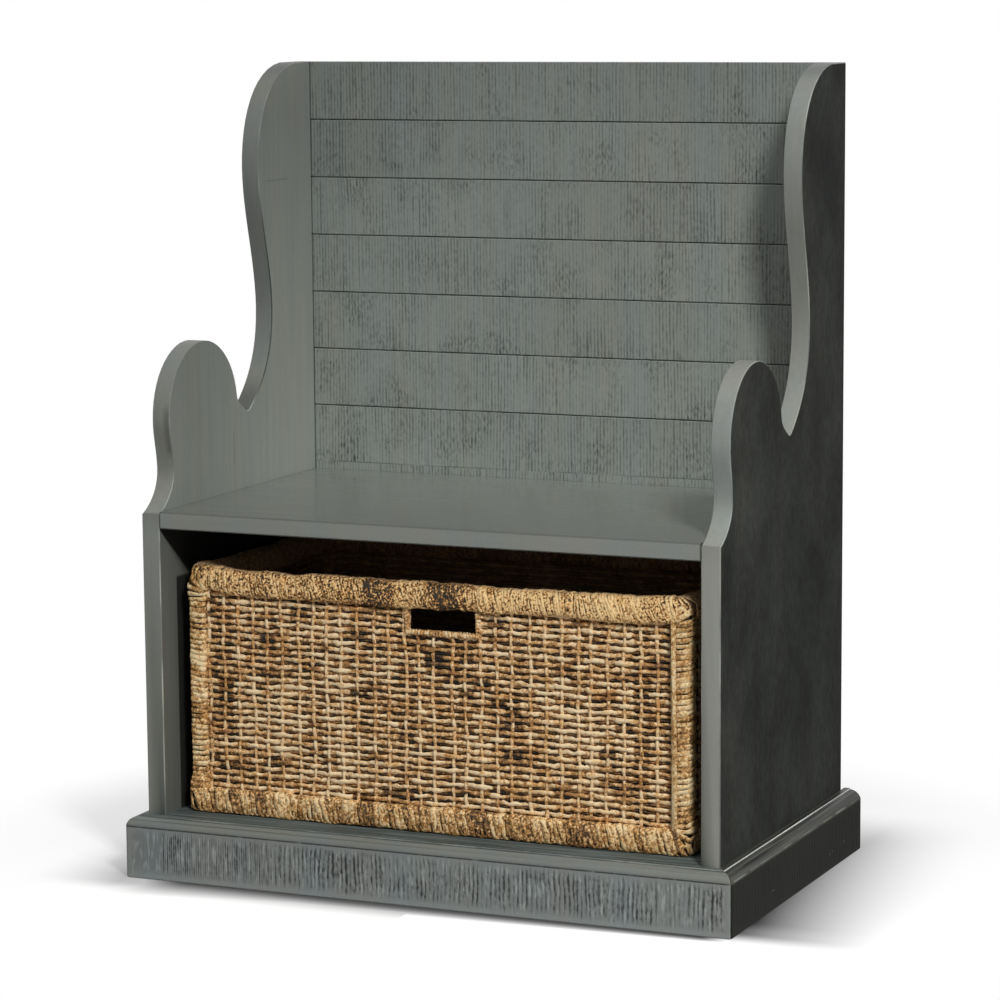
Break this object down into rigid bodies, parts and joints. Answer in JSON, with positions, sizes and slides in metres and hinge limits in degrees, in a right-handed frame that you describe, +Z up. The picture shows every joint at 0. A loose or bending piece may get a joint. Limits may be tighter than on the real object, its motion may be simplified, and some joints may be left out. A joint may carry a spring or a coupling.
{
  "type": "hall bench",
  "caption": "Painted wooden hall bench with scrolled high sides, a boarded back, a moulded plinth and a woven storage basket that slides out from under the seat.",
  "frame": {"origin": "on the floor, at the middle of the plinth's footprint", "axes": "+Z up, -Y towards the sitter's front, +X towards the right side panel as seen from the front"},
  "size_m": [0.797, 0.4794, 0.992],
  "materials": {
    "grey_green_paint": "satin",
    "dark_stain": "matte",
    "bare_timber": "matte",
    "zinc_steel": "satin",
    "woven_fibre": "matte",
    "black_rod": "satin"
  },
  "bodies": {
    "bench": {"side_panel_left": "grey_green_paint", "side_panel_right": "grey_green_paint", "seat_board": "grey_green_paint", "storage_floor": "grey_green_paint", "back_board_1": "grey_green_paint", "back_board_2": "grey_green_paint", "back_board_3": "grey_green_paint", "back_board_4": "grey_green_paint", "back_board_5": "grey_green_paint", "back_board_6": "grey_green_paint", "back_board_7": "grey_green_paint", "storage_back_panel": "dark_stain", "seat_rail_back": "dark_stain", "base_rail_front": "bare_timber", "base_rail_back": "bare_timber", "corner_block_front_left": "bare_timber", "corner_block_front_right": "bare_timber", "corner_block_back_left": "bare_timber", "corner_block_back_right": "bare_timber", "plinth_front": "grey_green_paint", "plinth_left": "grey_green_paint", "plinth_right": "grey_green_paint", "plinth_back": "grey_green_paint", "plinth_screw_front_1": "zinc_steel", "plinth_screw_front_2": "zinc_steel", "plinth_screw_front_3": "zinc_steel", "plinth_screw_left_1": "zinc_steel", "plinth_screw_left_2": "zinc_steel", "plinth_screw_right_1": "zinc_steel", "plinth_screw_right_2": "zinc_steel", "plinth_screw_back_1": "zinc_steel", "plinth_screw_back_2": "zinc_steel", "plinth_screw_back_3": "zinc_steel"},
    "basket": {"basket_rim": "woven_fibre", "basket_base_band": "woven_fibre", "basket_wall_front": "woven_fibre", "basket_wall_back": "woven_fibre", "basket_wall_left": "woven_fibre", "basket_wall_right": "woven_fibre", "basket_floor": "woven_fibre", "basket_corner_wrap_front_left": "woven_fibre", "basket_corner_wrap_front_right": "woven_fibre", "basket_corner_wrap_back_left": "woven_fibre", "basket_corner_wrap_back_right": "woven_fibre", "basket_post_front_left": "black_rod", "basket_post_front_right": "black_rod", "basket_post_back_left": "black_rod", "basket_post_back_right": "black_rod"}
  },
  "joints": [
    {"name": "basket_slide", "type": "slide", "parent": "bench", "child": "basket", "axis": [0, -1, 0], "range_m": [0, 0.44]}
  ]
}
